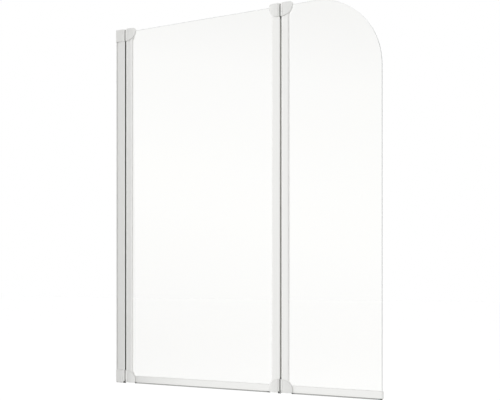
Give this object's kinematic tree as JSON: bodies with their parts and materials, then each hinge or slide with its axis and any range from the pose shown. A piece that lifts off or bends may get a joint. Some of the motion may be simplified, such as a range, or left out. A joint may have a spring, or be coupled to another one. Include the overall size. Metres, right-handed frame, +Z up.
{
  "type": "bath screen",
  "caption": "Folding bath screen of clear glass panels in upright aluminium profiles, hinged at the wall and at a fold, with sealing rails along the bottom.",
  "frame": {"origin": "on the wall face at the foot of the wall channel, level with the bath rim, in the middle of the glass thickness", "axes": "+X from the wall along the screen, +Y to the rear face of the screen as pictured, +Z up"},
  "size_m": [1.124, 0.03, 1.4],
  "materials": {
    "anodised_aluminium": "matt natural anodised",
    "cap_plastic": "fine matt, lacquered silver",
    "safety_glass": "clear toughened, ground rims",
    "glazing_gasket": "pale grey extruded",
    "seal_black": "black moulded",
    "gap_seal_grey": "dark grey extruded",
    "seal_grey": "mid grey extruded",
    "stainless_steel": "plain stainless",
    "bush_plastic": "natural bearing plastic"
  },
  "bodies": {
    "wall_mount": {"wall_channel": "anodised_aluminium"},
    "wall_side": {"wall_post": "anodised_aluminium", "clamp_screws": "stainless_steel", "clamp_nuts": "stainless_steel", "wall_cap_top": "cap_plastic", "wall_cap_bottom": "cap_plastic", "wall_cap_feet": "seal_black", "wall_cap_screws": "stainless_steel", "wall_hinge_pins": "stainless_steel", "wall_gap_seal": "gap_seal_grey"},
    "inner_panel": {"inner_glass": "safety_glass", "inner_hinge_stile": "anodised_aluminium", "inner_hinge_gasket": "glazing_gasket", "inner_hinge_cap_top": "cap_plastic", "inner_hinge_cap_bottom": "cap_plastic", "inner_hinge_cap_screws": "stainless_steel", "inner_hinge_bushes": "bush_plastic", "inner_fold_stile": "anodised_aluminium", "inner_fold_gasket": "glazing_gasket", "inner_fold_cap_top": "cap_plastic", "inner_fold_cap_bottom": "cap_plastic", "inner_fold_cap_feet": "seal_black", "inner_fold_cap_screws": "stainless_steel", "fold_hinge_pins": "stainless_steel", "fold_gap_seal": "gap_seal_grey", "inner_rail": "anodised_aluminium", "inner_rail_gasket": "glazing_gasket", "inner_rail_lip": "seal_grey"},
    "outer_panel": {"outer_glass": "safety_glass", "outer_hinge_stile": "anodised_aluminium", "outer_hinge_gasket": "glazing_gasket", "outer_hinge_cap_top": "cap_plastic", "outer_hinge_cap_bottom": "cap_plastic", "outer_hinge_cap_screws": "stainless_steel", "outer_hinge_bushes": "bush_plastic", "outer_rail": "anodised_aluminium", "outer_rail_gasket": "glazing_gasket", "outer_rail_lip": "seal_grey", "outer_rail_end_plug": "cap_plastic"}
  },
  "joints": [
    {"name": "width_adjust", "type": "slide", "parent": "wall_mount", "child": "wall_side", "axis": [1, 0, 0], "range_m": [0, 0.014]},
    {"name": "wall_hinge", "type": "hinge", "parent": "wall_side", "child": "inner_panel", "pos_m": [0.054, 0, 0.7015], "axis": [0, 0, 1], "range_deg": [-90, 90]},
    {"name": "fold_hinge", "type": "hinge", "parent": "inner_panel", "child": "outer_panel", "pos_m": [0.747, 0, 0.7015], "axis": [0, 0, 1], "range_deg": [-90, 90]}
  ]
}
